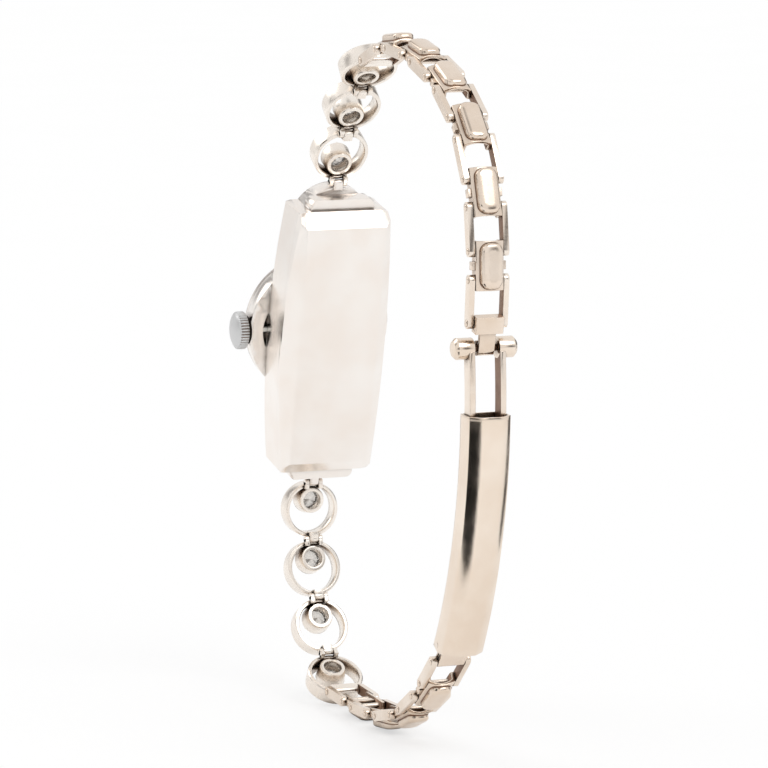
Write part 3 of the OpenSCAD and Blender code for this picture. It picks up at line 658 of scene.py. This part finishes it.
def clasp_box():
    """A bevelled channel, open at the wrist side, whose section is swept from its tail to its mouth."""
    t = BOX_WALL
    side = [(BOX_HALF, BOX_LOW), (BOX_HALF, -0.1), (BOX_HALF, TAIL_FLAT), (BOX_HALF, 0.8),
            (BOX_HALF, BOX_SHOULDER - 0.06), (BOX_HALF - 0.03, BOX_SHOULDER + 0.03),
            (BOX_FRONT + 0.03, BOX_TOP - 0.02), (BOX_FRONT - 0.03, BOX_TOP), (0.3, BOX_TOP)]
    lining = [(BOX_HALF - t, BOX_LOW), (BOX_HALF - t, -0.1), (BOX_HALF - t, TAIL_FLAT), (BOX_HALF - t, 0.8),
              (BOX_HALF - t, BOX_SHOULDER - t / 2 - 0.06), (BOX_HALF - t - 0.04, BOX_SHOULDER - t / 2 + 0.04),
              (BOX_FRONT - t / 2 + 0.05, BOX_TOP - t - 0.03), (BOX_FRONT - t / 2 - 0.05, BOX_TOP - t),
              (0.3, BOX_TOP - t)]
    outer = side + [(-x, rise) for x, rise in side[::-1]]
    inner = lining + [(-x, rise) for x, rise in lining[::-1]]
    section = outer + inner[::-1]
    rows = 60
    n = len(section)
    verts, faces = [], []
    for i in range(rows + 1):
        for x, rise in section:
            low = tail(x, rise)
            verts.append(on_arc(low + (BOX_MOUTH - low) * i / rows, x, rise))
    for i in range(rows):
        for k in range(n):
            m = (k + 1) % n
            faces.append((i * n + k, i * n + m, (i + 1) * n + m, (i + 1) * n + k))
    for first in (0, rows * n):
        for k in range(len(outer) - 1):
            faces.append((first + k, first + k + 1, first + n - 2 - k, first + n - 1 - k))
    place = Matrix.Translation(ARC_MID)
    shapes = [(verts, faces)]
    stands_for = ("clasp_cover",)
    build("clasp_box_shell", "clasp_box", place, shapes, "clasp_gold", stands_for, edge=0.03)


clasp_box()

# Head: stones in the bezel and the lugs with their claws, and the crown
BEZEL_TOP = 7.5
BEZEL_AT = 5.2
BEZEL_N = 20
BEZEL_STONE_R = 0.58
BEZEL_STONE_CROWN = 0.28
BEZEL_STONE_DEEP = 0.4
CLAW_R = 0.13
CLAW_OFF = 0.35
LUG_STONE_Y = 12.1
LUG_STONE_DEEP = 0.8
LUG_TOP = 5.0
stones, claws = [], []
for k in range(BEZEL_N):
    angle = 90 + 360 * k / BEZEL_N
    at = (BEZEL_AT * math.cos(math.radians(angle)), BEZEL_AT * math.sin(math.radians(angle)))
    stone = turned(brilliant(BEZEL_STONE_R, BEZEL_STONE_CROWN, BEZEL_STONE_DEEP), angle)
    stones.append(moved(stone, *at, BEZEL_TOP - 0.1))
    between = math.radians(angle + 180 / BEZEL_N)
    for r in (BEZEL_AT - CLAW_OFF, BEZEL_AT + CLAW_OFF):
        post = claw(CLAW_R, BEZEL_TOP - 0.3, BEZEL_TOP + 0.12)
        claws.append(moved(post, r * math.cos(between), r * math.sin(between)))
for s in (1, -1):
    stone = brilliant(STONE_R - 0.03, STONE_CROWN, LUG_STONE_DEEP)
    stones.append(moved(stone, 0, s * LUG_STONE_Y, LUG_TOP))
    for k in range(4):
        post = claw(CLAW_R, LUG_TOP - 0.4, LUG_TOP + 0.26, STONE_R + 0.05, 45 + 90 * k)
        claws.append(moved(post, 0, s * LUG_STONE_Y))
HEAD_STONES = ("bezel_stones", "lug_stones")
build("head_stones", "head", HEAD, stones, "stone_clear", HEAD_STONES, edge=0, flat=True)
build("head_claws", "head", HEAD, claws, "case_gold_lightened", edge=0)

CROWN_X = 6.8
STEM_Z = 5.2
CROWN_TEETH = 38
CROWN_GROOVE = 0.16
CROWN_BORE = 0.34
CROWN_DEEP = 0.86
CROWN_TIP = 1.19

# The knob's profile as (radius, height, share of the groove's depth)
CROWN_PROFILE = (
    (CROWN_BORE, 0.02, 0), (1.30, 0.02, 0), (1.48, 0.05, 0.5), (1.62, 0.09, 1), (1.65, 0.15, 1),
    (1.65, 0.70, 1), (1.62, 0.77, 1), (1.56, 0.80, 0.3), (1.50, 0.85, 0), (1.30, 0.96, 0), (1.0, 1.07, 0),
    (0.7, 1.14, 0), (0.3, 1.185, 0),
)
# The dark core inside the teeth is painted shade in the grooves.
CORE_R, CORE_LOW, CORE_TOP = 1.53, 0.10, 0.76
# The black disc behind the knob is painted shade.
SHADE_DISC_R, SHADE_DISC_LOW, SHADE_DISC_TOP = 1.25, -0.3, 0.1


def crown():
    """A domed knob bored for its stem, with teeth round its side, a dark core in the grooves and a black disc
    behind it, both painted shade.
    """
    verts, faces, rings = [], [], []
    wave = (0.0, 0.0, 0.7, 1.0, 1.0, 0.7)
    per = len(wave)
    count = CROWN_TEETH * per
    for radius, height, cut in CROWN_PROFILE:
        rings.append(len(verts))
        for k in range(count):
            a = 2 * math.pi * k / count
            r = radius - CROWN_GROOVE * cut * (1 - wave[k % per])
            verts.append((r * math.cos(a), r * math.sin(a), height))
    for low, high in zip(rings, rings[1:]):
        for k in range(count):
            n = (k + 1) % count
            faces.append((low + k, low + n, high + n, high + k))
    tip = len(verts)
    verts.append((0, 0, CROWN_TIP))
    bore = tip + 1
    for k in range(count):
        a = 2 * math.pi * k / count
        verts.append((CROWN_BORE * math.cos(a), CROWN_BORE * math.sin(a), CROWN_DEEP))
    foot = len(verts)
    verts.append((0, 0, CROWN_DEEP))
    for k in range(count):
        n = (k + 1) % count
        faces += [(rings[-1] + k, rings[-1] + n, tip), (rings[0] + n, rings[0] + k, bore + k, bore + n),
                  (bore + n, bore + k, foot)]
    core = lathe([(CROWN_BORE, CORE_LOW), (CORE_R, CORE_LOW), (CORE_R, CORE_TOP), (CROWN_BORE, CORE_TOP)],
                 64, closed=True)
    shade_disc = lathe([(CROWN_BORE, SHADE_DISC_LOW), (SHADE_DISC_R - 0.1, SHADE_DISC_LOW), (SHADE_DISC_R, SHADE_DISC_LOW + 0.06),
                    (SHADE_DISC_R, SHADE_DISC_TOP), (CROWN_BORE, SHADE_DISC_TOP)], 64, closed=True)
    place = HEAD @ Matrix.Translation(Vector((CROWN_X, 0, STEM_Z)) * MM)
    knob = on_x((verts, faces))
    build("crown_knob", "crown", place, [knob], "crown_steel", ("crown",), edge=0)
    # The core is painted shade in the crown's grooves.
    build("crown_groove_shade", "crown", place, [on_x(core)], "shade_brown", edge=0)
    # Painted shade: a black disc behind the knob.
    build("crown_shade_disc", "crown", place, [on_x(shade_disc)], "shade_black", edge=0.02)


crown()

# Light, floor and camera

def heading(azimuth, elevation):
    """The direction from the object towards an azimuth and elevation in degrees."""
    a, e = math.radians(azimuth), math.radians(elevation)
    return Vector((math.sin(a) * math.cos(e), -math.cos(a) * math.cos(e), math.sin(e)))


# Dark places in the room: direction, half width and soft edge in degrees, depth
FLAGS = [(heading(127, 0), 12, 7, 1.0), (heading(206, 8), 5, 8, 0.85), (heading(60, 20), 8, 10, 0.9),
         (heading(300, 10), 14, 10, 0.8), (heading(160, 74), 7, 10, 0.5), (heading(20, 25), 9, 10, 0.8)]
ROOM_LIGHT = 0.93
FLAG_COLOUR = (0.03, 0.022, 0.018, 1)


def backdrop():
    """A white room that the camera sees as plain white, with dark places for the metal to mirror."""
    world = bpy.data.worlds.new("studio")
    bpy.context.scene.world = world
    world.use_nodes = True
    tree = world.node_tree
    tree.nodes.clear()
    out = tree.nodes.new("ShaderNodeOutputWorld")
    path = tree.nodes.new("ShaderNodeLightPath")
    coord = tree.nodes.new("ShaderNodeTexCoord")
    white = tree.nodes.new("ShaderNodeBackground")
    white.inputs["Color"].default_value = (1, 1, 1, 1)
    room = tree.nodes.new("ShaderNodeBackground")
    room.inputs["Strength"].default_value = ROOM_LIGHT
    shade = None
    for towards, wide, soft, depth in FLAGS:
        dot = tree.nodes.new("ShaderNodeVectorMath")
        dot.operation = "DOT_PRODUCT"
        dot.inputs[1].default_value = towards.normalized()
        tree.links.new(coord.outputs["Generated"], dot.inputs[0])
        spread = tree.nodes.new("ShaderNodeMapRange")
        spread.interpolation_type = "SMOOTHSTEP"
        spread.inputs["From Min"].default_value = math.cos(math.radians(wide + soft))
        spread.inputs["From Max"].default_value = math.cos(math.radians(wide))
        spread.inputs["To Min"].default_value = 0.0
        spread.inputs["To Max"].default_value = depth
        tree.links.new(dot.outputs["Value"], spread.inputs["Value"])
        if shade is None:
            shade = spread.outputs["Result"]
        else:
            top = tree.nodes.new("ShaderNodeMath")
            top.operation = "MAXIMUM"
            tree.links.new(shade, top.inputs[0])
            tree.links.new(spread.outputs["Result"], top.inputs[1])
            shade = top.outputs[0]
    mix = tree.nodes.new("ShaderNodeMix")
    mix.data_type = "RGBA"
    mix.inputs[6].default_value = (1, 1, 1, 1)
    mix.inputs[7].default_value = FLAG_COLOUR
    tree.links.new(shade, mix.inputs[0])
    tree.links.new(mix.outputs[2], room.inputs["Color"])
    choose = tree.nodes.new("ShaderNodeMixShader")
    tree.links.new(path.outputs["Is Camera Ray"], choose.inputs[0])
    tree.links.new(room.outputs[0], choose.inputs[1])
    tree.links.new(white.outputs[0], choose.inputs[2])
    tree.links.new(choose.outputs[0], out.inputs["Surface"])


backdrop()


def lamp(name, place, aim, size, power):
    """A round soft lamp, with its place and size in metres."""
    data = bpy.data.lights.new(name, "AREA")
    data.shape = "DISK"
    data.size = size
    data.energy = power
    obj = bpy.data.objects.new(name, data)
    bpy.context.collection.objects.link(obj)
    obj.location = place
    obj.rotation_mode = "QUATERNION"
    obj.rotation_quaternion = (Vector(aim) - Vector(place)).to_track_quat("-Z", "Y")


def felt_card(name, mesh, tone):
    """Dark felt that only the metal's reflections see."""
    obj = bpy.data.objects.new(name, mesh)
    bpy.context.collection.objects.link(obj)
    g = Graph(material(name + "_felt"))
    nap = g.span(g.noise(300, 4.0), 0.3, 0.7, 0.8 * tone, 1.2 * tone)
    felt = g.add("ShaderNodeBsdfDiffuse")
    g.link(nap, felt.inputs["Color"])
    g.link(felt.outputs[0], g.out.inputs["Surface"])
    mesh.materials.append(made(name + "_felt"))
    obj.visible_camera = False
    obj.visible_diffuse = False
    obj.visible_shadow = False
    obj.visible_transmission = False


def card(name, aim, azimuth, elevation, away, wide, tall, tone):
    """A flat felt card that faces a point from an azimuth and elevation, with its sizes in metres."""
    side = Vector((math.cos(math.radians(azimuth)), math.sin(math.radians(azimuth)), 0))
    toward = heading(azimuth, elevation)
    rise = toward.cross(side)
    middle = aim + away * toward
    signs = ((-1, -1), (1, -1), (1, 1), (-1, 1))
    corners = [middle + a * wide / 2 * side + b * tall / 2 * rise for a, b in signs]
    mesh = bpy.data.meshes.new(name)
    mesh.from_pydata(corners, [], [(0, 1, 2, 3)])
    felt_card(name, mesh, tone)


# What the lamps and cards face, in metres
MIDDLE = Vector((0, 0, 0.03))
CLASP = Vector((0, 0.0205, 0.024))
CHAIN = Vector((0, 0.0195, 0.052))
LEFT_BEVEL = Vector((BOX_TOP - BOX_SHOULDER, 0, BOX_HALF - BOX_FRONT)).normalized()


def strip_card(name, along, away, sides, tone):
    """A felt ribbon that lies where the box's left bevel mirrors it in the photograph's view."""
    view = heading(*VIEW)
    low, high = [], []
    for s, (left, right) in zip(along, sides):
        a = ARC_START + s / ARC_R
        normal = Vector((LEFT_BEVEL.x, LEFT_BEVEL.z * math.cos(a), LEFT_BEVEL.z * math.sin(a)))
        mirror = 2 * normal.dot(view) * normal - view
        across = mirror.cross(Vector((0, 0, 1))).normalized()
        point = ARC_MID + Vector(on_arc(s, (BOX_HALF + BOX_FRONT) / 2, (BOX_SHOULDER + BOX_TOP) / 2)) * MM
        middle = point + away * mirror
        low.append(middle + across * left * MM)
        high.append(middle + across * right * MM)
    mesh = bpy.data.meshes.new(name)
    n = len(low)
    mesh.from_pydata(low + high, [], [(k, k + 1, n + k + 1, n + k) for k in range(n - 1)])
    felt_card(name, mesh, tone)


strip_card("left_card", (21.5, 17, 13, 10, 8, 6.5), 0.024,
           ((-8, 8), (-8, 8), (-8, 7.5), (-8, 3), (-8, 0), (-8, -3)), 0.012)
card("right_card", CLASP, 281, -14, 0.055, 0.010, 0.050, 0.015)
card("side_card", CHAIN, 82, 0, 0.055, 0.009, 0.060, 0.015)
lamp("key", MIDDLE + 0.5 * heading(200, 45), MIDDLE, 0.30, 0.45)
lamp("fill", MIDDLE + 0.5 * heading(40, 35), MIDDLE, 0.35, 0.4)

# Floor: in metres, with the shares of plain white near the object and away from it
FLOOR_HALF = 3.0
SHADOW_NEAR = 0.03
SHADOW_FAR = 0.10
NEAR_GLOW = 0.62


def floor():
    """A pale floor that keeps the object's shadow and looks plain white away from it."""
    mesh = bpy.data.meshes.new("floor")
    s = FLOOR_HALF
    mesh.from_pydata([(-s, -s, 0), (s, -s, 0), (s, s, 0), (-s, s, 0)], [], [(0, 1, 2, 3)])
    obj = bpy.data.objects.new("floor", mesh)
    bpy.context.collection.objects.link(obj)
    g = Graph(material("pale_floor"))
    path = g.add("ShaderNodeLightPath")
    grain = g.span(g.noise(40, 3.0), 0.3, 0.7, 0.96, 1.0)
    matt = g.add("ShaderNodeBsdfDiffuse")
    matt.inputs["Color"].default_value = (0.97, 0.97, 0.97, 1)
    glow = g.add("ShaderNodeEmission")
    glow.inputs["Color"].default_value = (1, 1, 1, 1)
    length = g.add("ShaderNodeVectorMath", operation="LENGTH")
    g.link(g.place, length.inputs[0])
    far = g.span(length.outputs["Value"], SHADOW_NEAR, SHADOW_FAR, NEAR_GLOW, 1.0)
    far = g.math("MULTIPLY", far, g.math("MULTIPLY", grain, path.outputs["Is Camera Ray"]))
    mixer = g.add("ShaderNodeMixShader")
    g.link(far, mixer.inputs[0])
    g.link(matt.outputs[0], mixer.inputs[1])
    g.link(glow.outputs[0], mixer.inputs[2])
    g.link(mixer.outputs[0], g.out.inputs["Surface"])
    obj.data.materials.append(made("pale_floor"))


floor()

# Camera: it looks at a point given in millimetres from the middle of the case's back
PIXELS = 768
PX_PER_MM = 11.8
DISTANCE = 0.4
SENSOR = 36.0
LOOK_FROM_BACK = Vector((-0.277, 10.406, -1.9))
camera_data = bpy.data.cameras.new("camera")
camera_data.sensor_width = SENSOR
camera_data.lens = SENSOR * DISTANCE / (PIXELS / PX_PER_MM * MM)
camera = bpy.data.objects.new("camera", camera_data)
bpy.context.collection.objects.link(camera)
back = heading(*VIEW)
look_at = Vector(frame["record"]["mounts"][0]["pos_m"]) + LOOK_FROM_BACK * MM
camera.location = look_at + back * DISTANCE
camera.rotation_mode = "QUATERNION"
camera.rotation_quaternion = (-back).to_track_quat("-Z", "Y")
camera_data.clip_start = 0.01
camera_data.clip_end = 20
bpy.context.scene.camera = camera
bpy.context.scene.view_settings.view_transform = "Standard"
